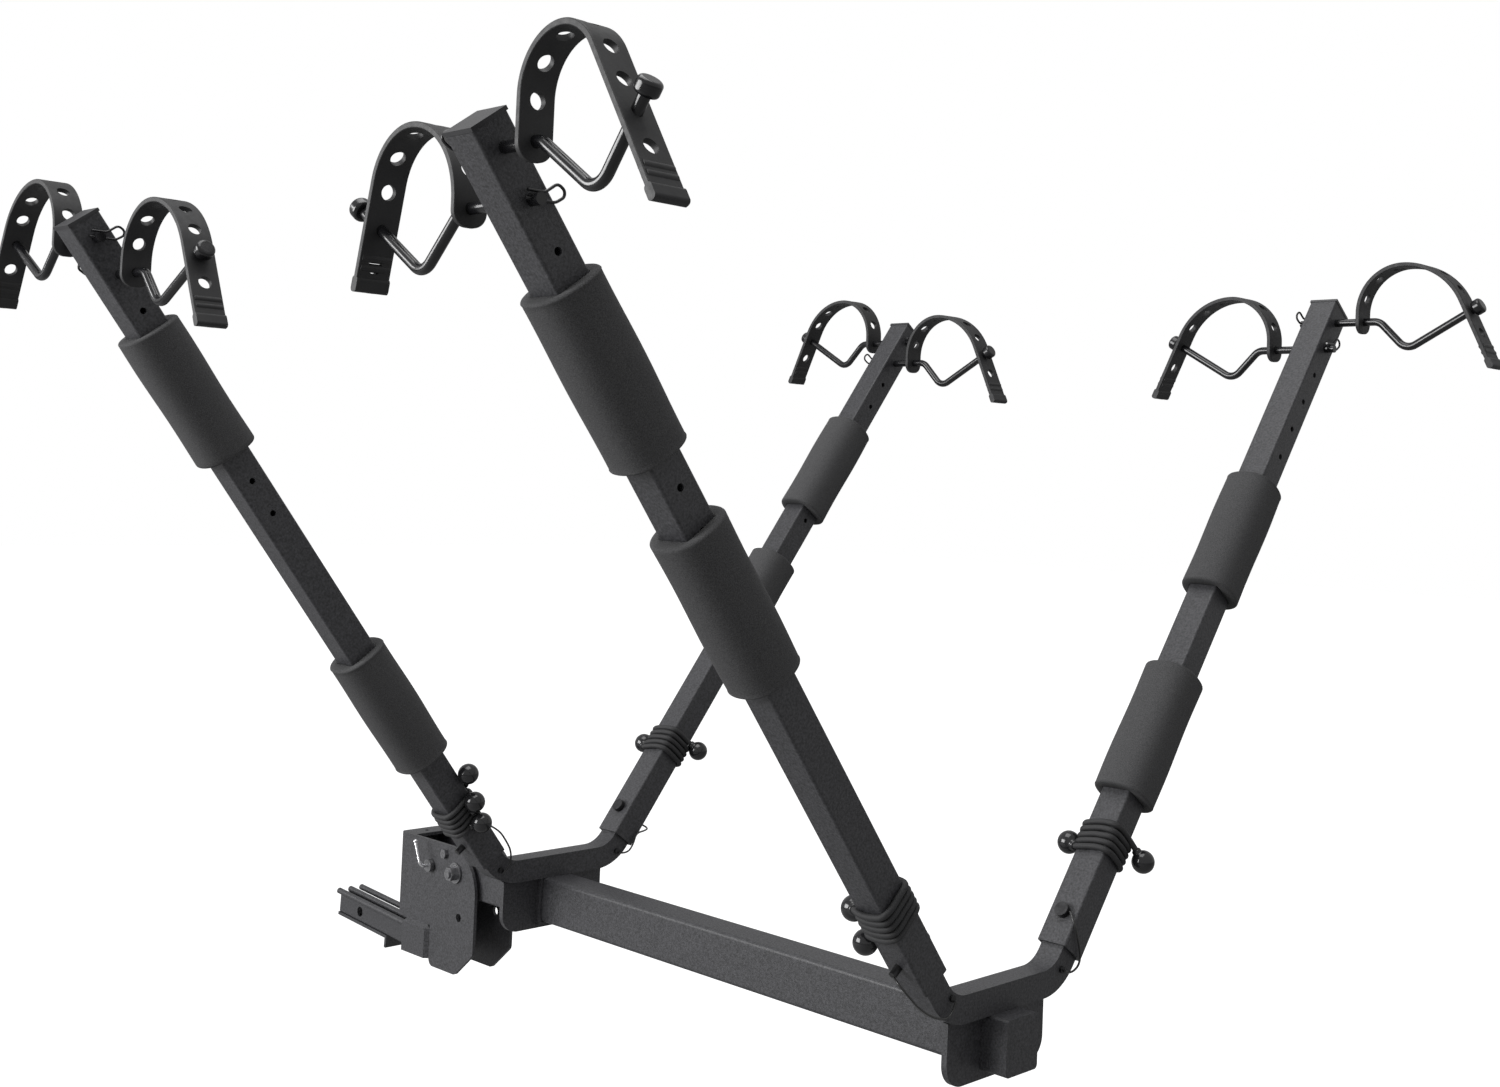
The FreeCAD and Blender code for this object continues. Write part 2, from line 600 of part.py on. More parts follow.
# The tongue of the rack, notched at its end so that it can lift off the lock pin and fold up.
tongue_half = size("tongue_side") / 2
tongue_mid_z = size("beam_bottom_z") + tongue_half
tongue = square_tube(
    "pivot_tongue", "$tongue_side", "$tongue_side", "$tongue_wall",
    "$front_x - $plate_thick / 2 - $tongue_left_x", "$tube_corner", tongue_half,
)
tongue_notch = sketch_on(tongue, "YZ_Plane", "tongue_notch_sketch")
seat_floor = "$pivot_z - $lock_seat_drop - $beam_bottom_z - $tongue_side / 2"
slot_right = "$pivot_x - $lock_slot_right - $tongue_left_x"
add_outline(tongue_notch, (
    (seat_floor, "-2"), ("$tongue_side", "-2"), ("$tongue_side", slot_right), (seat_floor, slot_right),
), "notch")
pocket_through(tongue, tongue_notch, "tongue_notch")
tongue_bores = sketch_on(tongue, "YZ_Plane", "tongue_bores")
add_circle(
    tongue_bores, "$pivot_z - $beam_bottom_z - $tongue_side / 2", "$pivot_x - $tongue_left_x",
    "$bushing_radius", "pivot",
)
pocket_through(tongue, tongue_bores, "tongue_pivot_bore")
# The lower corner of the tongue's end is rounded off in short steps.
HEEL_STEPS = 6
heel = size("tongue_heel")
heel_cut = [(-tongue_half - 2, -2), (-tongue_half - 2, heel)]
for i in range(HEEL_STEPS + 1):
    turned = math.pi / 2 * i / HEEL_STEPS
    heel_cut.append((
        f"{heel * (1 - math.cos(turned)) - tongue_half}", f"{heel * (1 - math.sin(turned))}"
    ))
heel_cut.append((heel - tongue_half, -2))
heel_sketch = sketch_on(tongue, "YZ_Plane", "tongue_heel_sketch")
add_outline(heel_sketch, heel_cut, "heel")
tongue.Tip = pocket_through(tongue, heel_sketch, "tongue_heel")
tongue.Placement = tube_along_x(size("tongue_left_x"), tongue_mid_z)
keep(tongue, "pivot_tongue")

BUSHING_SIDE_GAP = 0.4
bushing_half = flange_y - size("bracket_plate") - BUSHING_SIDE_GAP
bushing_tube = primitive(
    "Cylinder", "bushing_tube", (pivot[0], -bushing_half, pivot[1]), ALONG_Y,
    Radius="$bushing_radius", Height=2 * bushing_half,
)
bushing_bore = primitive(
    "Cylinder", "bushing_bore", (pivot[0], -bushing_half - 1, pivot[1]), ALONG_Y,
    Radius="$pivot_bore_radius", Height=2 * bushing_half + 2,
)
keep(combine("Cut", "bushing_cut", bushing_tube, bushing_bore), "pivot_bushing")

# The main beam between the two hanger plates.
beam = square_tube(
    "main_beam", "$beam_width", "$beam_height", "$beam_wall", "$rear_x - $front_x - $plate_thick",
    "$beam_corner", size("beam_width") / 2,
)
beam.Tip = beam.Group[-1]
beam_mid_z = size("beam_bottom_z") + size("beam_height") / 2
beam.Placement = tube_along_x(size("front_x") + size("plate_thick") / 2, beam_mid_z)
keep(beam, "main_beam")

# The two hanger plates that hold the crossbars on top of the beam.
for station, plate_x in STATIONS.items():
    plate = body(station + "_hanger_plate")
    plate_sketch = sketch_on(plate, "YZ_Plane", station + "_plate_outline")
    add_outline(plate_sketch, (
        ("-$plate_half_width", "$plate_bottom_z - $beam_bottom_z"),
        ("$plate_half_width", "$plate_bottom_z - $beam_bottom_z"),
        ("$plate_half_width", "$beam_height"),
        ("-$plate_half_width", "$beam_height"),
    ), "plate")
    plate_pad = pad(plate, plate_sketch, "$plate_thick", station + "_plate_pad", both_ways=True)
    plate.Tip = round_edges(
        plate, plate_pad, "$plate_corner", station + "_plate_corners",
        lambda e: runs_along(e, V(1, 0, 0)) and e.CenterOfMass.z < 0,
    )
    plate.Placement = FreeCAD.Placement(V(plate_x, 0, size("beam_bottom_z")), FreeCAD.Rotation())
    keep(plate, station + "_hanger_plate")

# A rib round the front end of the beam, and the socket beyond the rear plate.
rib = body("front_beam_collar")
rib_sketch = sketch_on(rib, "YZ_Plane", "rib_outline")
add_outline(rib_sketch, (
    ("-$beam_width / 2 - $rib_proud", "$beam_height"),
    ("-$beam_width / 2 - $rib_proud", "-$rib_proud"),
    ("$beam_width / 2 + $rib_proud", "-$rib_proud"),
    ("$beam_width / 2 + $rib_proud", "$beam_height"),
    ("$beam_width / 2", "$beam_height"),
    ("$beam_width / 2", "0"),
    ("-$beam_width / 2", "0"),
    ("-$beam_width / 2", "$beam_height"),
), "rib")
rib.Tip = pad(rib, rib_sketch, "$rib_width", "rib_pad")
rib.Placement = FreeCAD.Placement(
    V(size("front_x") + size("plate_thick") / 2, 0, size("beam_bottom_z")), FreeCAD.Rotation()
)
keep(rib, "front_beam_collar")

socket = square_tube(
    "rear_beam_socket", "2 * $socket_half_width", "$beam_height", "2 * $beam_wall",
    "$socket_length - $plate_thick / 2", "$beam_corner", size("socket_half_width"),
)
socket_lid = sketch_on(socket, "XY_Plane", "socket_lid_sketch")
add_rectangle(
    socket_lid, "2 * $socket_half_width - 3 * $beam_wall", "$beam_height - 3 * $beam_wall", "lid"
)
socket.Tip = pad(socket, socket_lid, "$beam_wall", "socket_lid")
socket_turn = FreeCAD.Rotation(V(0, -1, 0), V(0, 0, 1), V(-1, 0, 0), "ZXY")
socket.Placement = FreeCAD.Placement(
    V(size("rear_x") + size("socket_length"), 0, beam_mid_z), socket_turn
)
keep(socket, "rear_beam_socket")

# The crossbars: square tube with both ends bent up into the arms.
PIN_SPAN = 60.0
for station, station_x in STATIONS.items():
    left, right = station + "_left", station + "_right"
    leg = size("cross_leg") + size("arm_start")
    path = rounded_path(
        [on_arm(left, 0, 0, leg), corner_of(left), corner_of(right), on_arm(right, 0, 0, leg)],
        [size("cross_bend"), size("cross_bend")],
    )

    def cross_profile(half):
        ends = [on_arm(left, a, b, leg) for a, b in
                ((-half, -half), (half, -half), (half, half), (-half, half), (-half, -half))]
        return Part.makePolygon(ends)

    outer = path.makePipeShell([cross_profile(size("cross_side") / 2)], True, False)
    inner = path.makePipeShell(
        [cross_profile(size("cross_side") / 2 - size("cross_wall"))], True, False
    )
    crossbar = outer.cut(inner)
    for arm in (left, right):
        pin_at = on_arm(arm, 0, -PIN_SPAN / 2, arm_foot(arm) + size("arm_pin_up"))
        crossbar = crossbar.cut(
            Part.makeCylinder(size("arm_pin_bore"), PIN_SPAN, pin_at, inner_normal(arm))
        )
    feature_of(crossbar, station + "_crossbar")

# The four arms, each drilled at even steps, with their end caps, pads, ties and locking pins.
arm_half = size("arm_side") / 2
caps = []
ball_set = []
rivets = []
for arm, seat in SEAT.items():
    turn = arm_turn(arm)
    foot = corner_of(arm) + up_arm(arm) * arm_foot(arm)
    tube = square_tube(
        arm + "_arm", "$arm_side", "$arm_side", "$arm_wall", "$arm_length", "$tube_corner", arm_half
    )
    stems = sketch_on(tube, "YZ_Plane", arm + "_stem_sketch")
    add_circle(stems, 0, "$arm_length - $hole_first", "$stem_bore_radius", "outer")
    add_circle(stems, 0, "$arm_length - $hole_first - $hole_pitch", "$stem_bore_radius", "inner")
    pocket_through(tube, stems, arm + "_stem_bores")
    spare = sketch_on(tube, "YZ_Plane", arm + "_hole_sketch")
    add_circle(spare, 0, "$arm_length - $hole_first - 2 * $hole_pitch", "$hole_radius", "hole")
    spare_pocket = pocket_through(tube, spare, arm + "_first_hole")
    row = tube.newObject("PartDesign::LinearPattern", arm + "_hole_row")
    row.Originals = [spare_pocket]
    z_axis = next(f for f in tube.Origin.OriginFeatures if f.Role == "Z_Axis")
    row.Direction = (z_axis, [""])
    row.Reversed = True
    bind(row, Length="($hole_count - 3) * $hole_pitch")
    row.Occurrences = int(size("hole_count")) - 2
    tube.Tip = row
    doc.recompute()
    pins = sketch_on(tube, "XZ_Plane", arm + "_pin_sketch")
    add_circle(pins, 0, "$arm_pin_up", "$arm_pin_bore", "pin")
    tube.Tip = pocket_through(tube, pins, arm + "_pin_bore")
    tube.Placement = FreeCAD.Placement(foot, turn)
    keep(tube, arm + "_arm")

    cap_half = arm_half + size("cap_proud")
    caps.append(primitive(
        "Box", arm + "_cap",
        on_arm(arm, -cap_half, 0, below_top(arm, 0)) - turn.multVec(V(0, cap_half, 0)), turn,
        Length="$arm_side + 2 * $cap_proud", Width="$arm_side + 2 * $cap_proud", Height="$cap_thick",
    ))

    sleeves = []
    for place, middle in zip(("upper", "lower"), PADS[arm]):
        low = below_top(arm, middle + size("pad_length") / 2)
        foam = primitive(
            "Cylinder", f"{arm}_{place}_foam", on_arm(arm, 0, 0, low), turn,
            Radius="$pad_radius", Height="$pad_length",
        )
        hollow_half = arm_half + size("pad_clear")
        hollow = primitive(
            "Box", f"{arm}_{place}_hollow",
            on_arm(arm, -hollow_half, 0, low - 1) - turn.multVec(V(0, hollow_half, 0)), turn,
            Length="$arm_side + 2 * $pad_clear", Width="$arm_side + 2 * $pad_clear",
            Height="$pad_length + 2",
        )
        sleeves.append(combine("Cut", f"{arm}_{place}_sleeve", foam, hollow))
    pad_pair = doc.addObject("Part::Compound", arm + "_pad_pair")
    pad_pair.Links = sleeves
    keep(pad_pair, arm + "_pads")

    tie_low = below_top(arm, TIES[arm] + size("coil_high") / 2)
    rings = []
    for name, grow in (("ring", size("coil_clear") + size("coil_thick")), ("inside", size("coil_clear"))):
        half = arm_half + grow
        spare_height = 0 if name == "ring" else 2
        rings.append(primitive(
            "Box", f"{arm}_tie_{name}",
            on_arm(arm, -half, 0, tie_low - spare_height / 2) - turn.multVec(V(0, half, 0)), turn,
            Length=2 * half, Width=2 * half, Height=f"$coil_high + {spare_height}",
        ))
    room = []
    for i, (across, inward, along) in enumerate(BALLS[arm]):
        at = on_arm(arm, across, inward, below_top(arm, TIES[arm]) + along)
        ball_set.append(primitive("Sphere", f"{arm}_ball_{i}", at, Radius="$ball_radius"))
        room.append(primitive(
            "Sphere", f"{arm}_ball_room_{i}", at, Radius="$ball_radius + $coil_clear",
        ))
    tie_ring = combine("Cut", arm + "_tie_cut", *rings)
    ball_room = doc.addObject("Part::Compound", arm + "_ball_room")
    ball_room.Links = room
    keep(combine("Cut", arm + "_tie_hollowed", tie_ring, ball_room), arm + "_bungee")

    # The pin runs through the arm; its head is on the inner face and its tip on the outer one.
    PIN_HEAD = 7.0
    PIN_TIP = 12.0
    inward = inner_normal(arm)
    along_normal = FreeCAD.Rotation(V(0, 0, 1), inward)
    pin_s = arm_foot(arm) + size("arm_pin_up")
    shank = primitive(
        "Cylinder", arm + "_pin_shank", on_arm(arm, 0, -arm_half - PIN_TIP, pin_s), along_normal,
        Radius="$arm_pin_radius", Height=f"$arm_side + {PIN_TIP + 1}",
    )
    head = primitive(
        "Cylinder", arm + "_pin_head", on_arm(arm, 0, arm_half + 0.5, pin_s), along_normal,
        Radius="$arm_pin_head", Height=PIN_HEAD,
    )
    keep(combine("Fuse", arm + "_pin_fused", shank, head), arm + "_pin")

    rivets.append(primitive(
        "Cylinder", arm + "_rivet", on_arm(arm, size("cross_side") / 2, *RIVETS[arm]), ALONG_X,
        Radius="$rivet_radius", Height="$rivet_high",
    ))

    # The lanyard hangs on the rear side, from one end of the pin to the rivet.
    hang = [on_arm(arm, *point) for point in LANYARDS[arm]]
    lanyard_radii = free_radii(hang, 6 * size("cable_radius"))
    print(arm, "lanyard radii", [round(r, 1) for r in lanyard_radii])
    feature_of(round_bar(hang, lanyard_radii, size("cable_radius")), arm + "_lanyard")

for name, members in (("arm_end_caps", caps), ("bungee_balls", ball_set), ("lanyard_rivets", rivets)):
    compound = doc.addObject("Part::Compound", name + "_set")
    compound.Links = members
    keep(compound, name)


# The hooks and their rubber straps, drawn lying along +X from the arm with the stem at the origin.
def hook_shape(bends):
    """A bent rod with a knob at its end and a clip through its stem, as three solids."""
    rod_points = [V(-size("stem_reach"), 0, 0)] + [V(x, 0, z) for x, z in bends]
    bend = size("hook_bend")
    rod = round_bar(rod_points, [bend, bend], size("stem_radius"))
    clip_r = size("clip_radius")
    clip_x = -size("clip_x")
    rod = rod.cut(Part.makeCylinder(clip_r, 40, V(clip_x, -20, 0), V(0, 1, 0)))
    way = (rod_points[3] - rod_points[2]).normalize()
    knob_start = rod_points[3] - way * (size("knob_length") / 2)
    knob = Part.makeCylinder(size("knob_radius"), size("knob_length"), knob_start, way)
    knob = knob.makeFillet(4.0, [e for e in knob.Edges if e.Closed])
    knob = knob.cut(Part.makeCylinder(size("stem_radius"), 20, rod_points[3] - way * 20, way))
    clip = round_bar(
        [V(clip_x, 11, 0), V(clip_x, -20, 0), V(clip_x, -34, 9), V(clip_x, -22, 17),
         V(clip_x, -9, 7.5), V(clip_x, 9, 7.5)],
        [11.0, 5.5, 6.0, 12.0], clip_r,
    )
    return Part.makeCompound([rod, knob, clip])


def is_across(edge, thick):
    """True for an edge that runs through the strap's thickness."""
    return abs(edge.Length - thick) < 0.01


def strap_shape(bends, x, rise, first_arc, second_arc, lean, tail_length):
    """A rubber strap, from its lip below the stem, over two arcs and down across the rod."""
    wide, thick = size("strap_wide"), size("strap_thick")
    angle = math.radians(lean)
    lip = V(x, 0, -size("strap_lip"))
    shoulder = V(x, 0, rise)
    apex = V(x + first_arc, 0, rise + first_arc)
    centre = V(apex.x, 0, apex.z - second_arc)
    over = centre + V(math.sin(angle), 0, math.cos(angle)) * second_arc
    down = V(math.cos(angle), 0, -math.sin(angle))
    tail = over + down * tail_length
    on_first = V(x + first_arc * (1 - math.sqrt(0.5)), 0, rise + first_arc * math.sqrt(0.5))
    on_second = centre + V(math.sin(angle / 2), 0, math.cos(angle / 2)) * second_arc
    path = Part.Wire([
        Part.LineSegment(lip, shoulder).toShape(),
        Part.Arc(shoulder, on_first, apex).toShape(),
        Part.Arc(apex, on_second, over).toShape(),
        Part.LineSegment(over, tail).toShape(),
    ])
    profile = Part.makePolygon([
        lip + V(a * thick / 2, b * wide / 2, 0)
        for a, b in ((-1, -1), (1, -1), (1, 1), (-1, 1), (-1, -1))
    ])
    band = path.makePipeShell([profile], True, False)
    band = band.makeFillet(0.42 * wide, [e for e in band.Edges if is_across(e, thick)])
    rim = [e for e in band.Edges if abs(e.CenterOfMass.y) > 0.42 * wide or e.Length < 25]
    band = band.makeFillet(size("strap_rim"), [e for e in rim if not is_across(e, thick)])

    # The holes lie at even steps from the one on the stem to the one on the end of the rod.
    rod_start = V(bends[1][0], 0, bends[1][1])
    rod_way = (V(bends[2][0], 0, bends[2][1]) - rod_start).normalize()
    gap = over - rod_start
    cross = rod_way.x * down.z - rod_way.z * down.x
    past = (gap.x * rod_way.z - gap.z * rod_way.x) / cross
    lengths = [size("strap_lip") + rise, first_arc * math.pi / 2, second_arc * angle, past]
    total = sum(lengths)
    STEPS = 7
    step = (total - size("strap_lip")) / STEPS
    snug = size("stem_radius") + size("hook_fit")
    for i in range(STEPS + 2):
        run = size("strap_lip") + i * step
        if run <= lengths[0]:
            point, normal = lip + V(0, 0, run), V(1, 0, 0)
        elif run <= lengths[0] + lengths[1]:
            turned = (run - lengths[0]) / first_arc
            normal = V(-math.cos(turned), 0, math.sin(turned))
            point = V(x + first_arc, 0, rise) + normal * first_arc
        elif run <= lengths[0] + lengths[1] + lengths[2]:
            turned = (run - lengths[0] - lengths[1]) / second_arc
            normal = V(math.sin(turned), 0, math.cos(turned))
            point = centre + normal * second_arc
        else:
            normal = V(math.sin(angle), 0, math.cos(angle))
            point = over + down * (run - lengths[0] - lengths[1] - lengths[2])
        if i == STEPS:
            normal = rod_way
        radius = snug if i in (0, STEPS) else size("strap_hole")
        band = band.cut(Part.makeCylinder(radius, 30, point - normal * 15, normal))

    # The pull tab: a thicker rounded end with two ribs across the strap before it.
    tab_turn = FreeCAD.Rotation(V(0, 1, 0), lean)
    tab = Part.makeBox(
        size("tab_length"), wide, size("tab_thick"),
        V(-size("tab_length"), -wide / 2, -size("tab_thick") / 2),
    )
    tab = tab.makeFillet(3.5, [e for e in tab.Edges if runs_along(e, V(0, 1, 0))])
    pieces = [tab]
    for i in (1, 2):
        back = -size("tab_length") - i * size("rib_step")
        pieces.append(Part.makeCylinder(size("rib_radius"), wide - 4, V(back, 2 - wide / 2, 0), V(0, 1, 0)))
    for piece in pieces:
        piece.Placement = FreeCAD.Placement(tail, tab_turn).multiply(piece.Placement)
        band = band.fuse(piece)
    return band


hooks = {"": hook_shape(ROD)}
straps = {"": strap_shape(ROD, *STRAP)}
for name, bends in BENT_RODS.items():
    hooks[name] = hook_shape(bends)
    straps[name] = strap_shape(bends, *BENT_STRAPS[name])
for arm in SEAT:
    station, side = arm.split("_")
    for place, down in (("outer", size("hole_first")), ("inner", size("hole_first") + size("hole_pitch"))):
        name = f"{arm}_{place}"
        heading = OUTWARD[station] * (1 if place == "outer" else -1)
        facing = FreeCAD.Rotation(V(0, 0, 1), 0 if heading > 0 else 180)
        stem = FreeCAD.Placement(on_arm(arm, 0, 0, below_top(arm, down)), facing)
        shape_name = name if name in BENT_RODS else ""
        feature_of(hooks[shape_name], name + "_hook", stem)
        feature_of(straps[shape_name], name + "_strap", stem)

doc.recompute()
for obj in doc.Objects:
    if "Invalid" in obj.State or "Error" in obj.State:
        raise RuntimeError(f"{obj.Name} did not compute: {obj.State}")
for obj in parts:
    if obj.Shape.isNull() or not obj.Shape.isValid():
        raise RuntimeError(obj.Label + " has no valid shape")
    obj.Shape.exportStep(f"parts/{obj.Label}.step")
print(len(parts), "sub-parts")
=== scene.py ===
"""Looks for the hitch mounted bike rack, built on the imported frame. All lengths are in metres."""

import json
import math
import random

import bmesh
import bpy
from mathutils import Matrix, Vector


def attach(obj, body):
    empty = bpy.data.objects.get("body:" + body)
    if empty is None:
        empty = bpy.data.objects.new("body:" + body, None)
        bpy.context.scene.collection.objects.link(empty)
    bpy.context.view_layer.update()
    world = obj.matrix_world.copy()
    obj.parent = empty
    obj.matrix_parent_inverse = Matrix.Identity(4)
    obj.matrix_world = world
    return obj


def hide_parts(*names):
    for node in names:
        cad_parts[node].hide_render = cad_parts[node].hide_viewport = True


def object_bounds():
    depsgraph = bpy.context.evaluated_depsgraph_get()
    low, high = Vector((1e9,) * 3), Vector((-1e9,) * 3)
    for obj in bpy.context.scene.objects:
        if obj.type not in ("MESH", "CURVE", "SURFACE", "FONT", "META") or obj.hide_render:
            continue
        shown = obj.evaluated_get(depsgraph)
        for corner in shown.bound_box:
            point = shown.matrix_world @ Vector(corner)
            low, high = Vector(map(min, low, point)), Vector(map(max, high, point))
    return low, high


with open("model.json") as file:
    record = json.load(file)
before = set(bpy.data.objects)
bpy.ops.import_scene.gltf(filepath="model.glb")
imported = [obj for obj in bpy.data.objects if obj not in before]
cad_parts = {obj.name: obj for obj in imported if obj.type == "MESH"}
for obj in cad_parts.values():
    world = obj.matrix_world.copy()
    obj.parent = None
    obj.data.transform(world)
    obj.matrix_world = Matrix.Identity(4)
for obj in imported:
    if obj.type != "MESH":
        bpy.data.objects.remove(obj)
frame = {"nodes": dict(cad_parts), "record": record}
cad_low, cad_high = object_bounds()
MM = 0.001

# ---------------------------------------------------------------- where things are
STATION_X = {"front": 491 * MM, "rear": 1321 * MM}
SIDE = {"left": -1, "right": 1}
CORNER_Y = 98 * MM
CORNER_Z = 165.375 * MM
ARM_ANGLE = math.radians(36.88)
ARM_HALF = 20.65 * MM
ARM_LENGTH = 1030 * MM
ARM_START = 36 * MM
SEAT = {
    "front_left": -6 * MM, "front_right": -6 * MM, "rear_left": 14 * MM, "rear_right": 0.0,
}
ARMS = list(SEAT)


def arm_frame(arm):
    """The matrix from an arm's own axes (X, inner normal, along the arm) to the row frame."""
    station, side_name = arm.split("_")
    side = SIDE[side_name]
    x = Vector((1, 0, 0))
    inward = Vector((0, -side * math.cos(ARM_ANGLE), math.sin(ARM_ANGLE)))
    along = Vector((0, side * math.sin(ARM_ANGLE), math.cos(ARM_ANGLE)))
    turn = Matrix((x, inward, along)).transposed().to_4x4()
    return Matrix.Translation((STATION_X[station], side * CORNER_Y, CORNER_Z)) @ turn


def on_arm(arm, across, inward, along):
    """A point given in an arm's own axes."""
    return arm_frame(arm) @ Vector((across, inward, along))


def below_top(arm, distance):
    """How far along an arm a point lies that is a distance below its top."""
    return ARM_START + SEAT[arm] + ARM_LENGTH - distance


# ---------------------------------------------------------------- camera, lights and floor
CAMERA_AT = (2.5392, -1.5612, 0.7397)
CAMERA_AZIMUTH = math.radians(43.21)
CAMERA_ELEVATION = math.radians(-2.22)
CAMERA_ROLL = math.radians(2.17)
LENS = 41.09
LENS_SHIFT = (-0.0719, -0.0846)

LIGHTS_AIM = (0.85, 0.0, 0.45)
# Each light's place, size in metres and power in watts.
LIGHTS = {
    "key": ((-1.0, -3.8, 1.4), (3.0, 2.0), 210),
    "top": ((0.9, -0.6, 3.8), (2.5, 2.5), 65),
}
# How strongly the white room lights the rack. The camera sees it at full strength.
ROOM_GLOW = 0.55
FLOOR_SIZE = 40
FLOOR_DROP = 0.42


def make_camera():
    """The camera's place, turn and lens."""
    azimuth, elevation, roll = CAMERA_AZIMUTH, CAMERA_ELEVATION, CAMERA_ROLL
    back = Vector((
        math.sin(azimuth) * math.cos(elevation), -math.cos(azimuth) * math.cos(elevation),
        math.sin(elevation),
    ))
    right = Vector((math.cos(azimuth), math.sin(azimuth), 0))
    up = back.cross(right)
    rolled_right = math.cos(roll) * right + math.sin(roll) * up
    rolled_up = math.cos(roll) * up - math.sin(roll) * right
    data = bpy.data.cameras.new("camera")
    data.sensor_width = 36.0
    data.lens = LENS
    data.shift_x, data.shift_y = LENS_SHIFT
    data.clip_end = 100.0
    camera = bpy.data.objects.new("camera", data)
    turn = Matrix((rolled_right, rolled_up, back)).transposed().to_4x4()
    camera.matrix_world = Matrix.Translation(CAMERA_AT) @ turn
    bpy.context.collection.objects.link(camera)
    bpy.context.scene.camera = camera


def make_light(name, place, target, size, power):
    """A soft rectangular light that faces its target."""
    data = bpy.data.lights.new(name, "AREA")
    data.shape = "RECTANGLE"
    data.size, data.size_y = size
    data.energy = power
    light = bpy.data.objects.new(name, data)
    light.location = place
    light.rotation_euler = (Vector(target) - Vector(place)).to_track_quat("-Z", "Y").to_euler()
    bpy.context.collection.objects.link(light)


def make_studio():
    """The white room, its lights and its floor."""
    scene = bpy.context.scene
    scene.view_settings.view_transform = "Standard"
    world = bpy.data.worlds.new("studio")
    world.use_nodes = True
    tree = world.node_tree
    background = tree.nodes["Background"]
    background.inputs["Color"].default_value = (1, 1, 1, 1)
    seen = tree.nodes.new("ShaderNodeLightPath").outputs["Is Camera Ray"]
    tree.links.new(spread(tree, seen, ROOM_GLOW, 1.0, 0.0, 1.0), background.inputs["Strength"])
    scene.world = world
    for name, (place, size, power) in LIGHTS.items():
        make_light(name, place, LIGHTS_AIM, size, power)
    bpy.ops.mesh.primitive_plane_add(size=FLOOR_SIZE, location=(0, 0, cad_low.z - FLOOR_DROP))
    floor = bpy.context.object
    floor.name = "floor"
    floor.data.materials.append(material_floor())


# ---------------------------------------------------------------- materials
def new_material(name, colour, roughness):
    """A material with a plain Principled shader, its node tree and that shader."""
    material = bpy.data.materials.new(name)
    material.use_nodes = True
    shader = material.node_tree.nodes["Principled BSDF"]
    shader.inputs["Base Color"].default_value = (*colour, 1)
    shader.inputs["Roughness"].default_value = roughness
    return material, material.node_tree, shader


def object_coordinates(tree):
    return tree.nodes.new("ShaderNodeTexCoord").outputs["Object"]


def noise(tree, scale, detail=2.0, roughness=0.5):
    """A noise texture's value, on the object's own coordinates."""
    node = tree.nodes.new("ShaderNodeTexNoise")
    node.inputs["Scale"].default_value = scale
    node.inputs["Detail"].default_value = detail
    node.inputs["Roughness"].default_value = roughness
    tree.links.new(object_coordinates(tree), node.inputs["Vector"])
    return node.outputs["Fac"]


def spread(tree, value, low, high, start=0.3, stop=0.7):
    """Maps a texture's middle range to low..high."""
    node = tree.nodes.new("ShaderNodeMapRange")
    node.inputs["From Min"].default_value = start
    node.inputs["From Max"].default_value = stop
    node.inputs["To Min"].default_value = low
    node.inputs["To Max"].default_value = high
    tree.links.new(value, node.inputs["Value"])
    return node.outputs["Result"]


def tint(tree, shader, value, dark, light):
    """Colours the shader between two colours by a texture value."""
    mix = tree.nodes.new("ShaderNodeMix")
    mix.data_type = "RGBA"
    mix.inputs["A"].default_value = (*dark, 1)
    mix.inputs["B"].default_value = (*light, 1)
    tree.links.new(value, mix.inputs["Factor"])
    tree.links.new(mix.outputs["Result"], shader.inputs["Base Color"])


def bump(tree, shader, height, strength, distance):
    """Roughens the shader's surface by a texture value."""
    node = tree.nodes.new("ShaderNodeBump")
    node.inputs["Strength"].default_value = strength
    node.inputs["Distance"].default_value = distance
    tree.links.new(height, node.inputs["Height"])
    tree.links.new(node.outputs["Normal"], shader.inputs["Normal"])


def material_floor():
    """White to look at, and dull enough to throw little light back up at the rack."""
    material, tree, shader = new_material("floor_white", (0.2, 0.2, 0.2), 0.9)
    tint(tree, shader, noise(tree, 3.0), (0.19, 0.19, 0.19), (0.21, 0.21, 0.21))
    shader.inputs["Emission Color"].default_value = (1, 1, 1, 1)
    seen = tree.nodes.new("ShaderNodeLightPath").outputs["Is Camera Ray"]
    tree.links.new(spread(tree, seen, 0.1, 1.0, 0.0, 1.0), shader.inputs["Emission Strength"])
    return material


def material_powder_coat():
    """Black powder coat with a visible fine grain."""
    material, tree, shader = new_material("powder_coat", (0.03, 0.03, 0.033), 0.5)
    tint(tree, shader, spread(tree, noise(tree, 380, 3), 0, 1), (0.012, 0.012, 0.0135), (0.048, 0.048, 0.053))
    tree.links.new(spread(tree, noise(tree, 420, 3), 0.42, 0.56), shader.inputs["Roughness"])
    bump(tree, shader, noise(tree, 700, 3, 0.6), 0.5, 0.0006)
    return material


def material_foam():
    """Dull closed-cell foam."""
    material, tree, shader = new_material("foam", (0.035, 0.035, 0.036), 0.95)
    tint(tree, shader, spread(tree, noise(tree, 900, 3), 0, 1), (0.034, 0.034, 0.035), (0.072, 0.072, 0.074))
    bump(tree, shader, noise(tree, 1300, 2, 0.7), 0.5, 0.0005)
    shader.inputs["Specular IOR Level"].default_value = 0.25
    return material


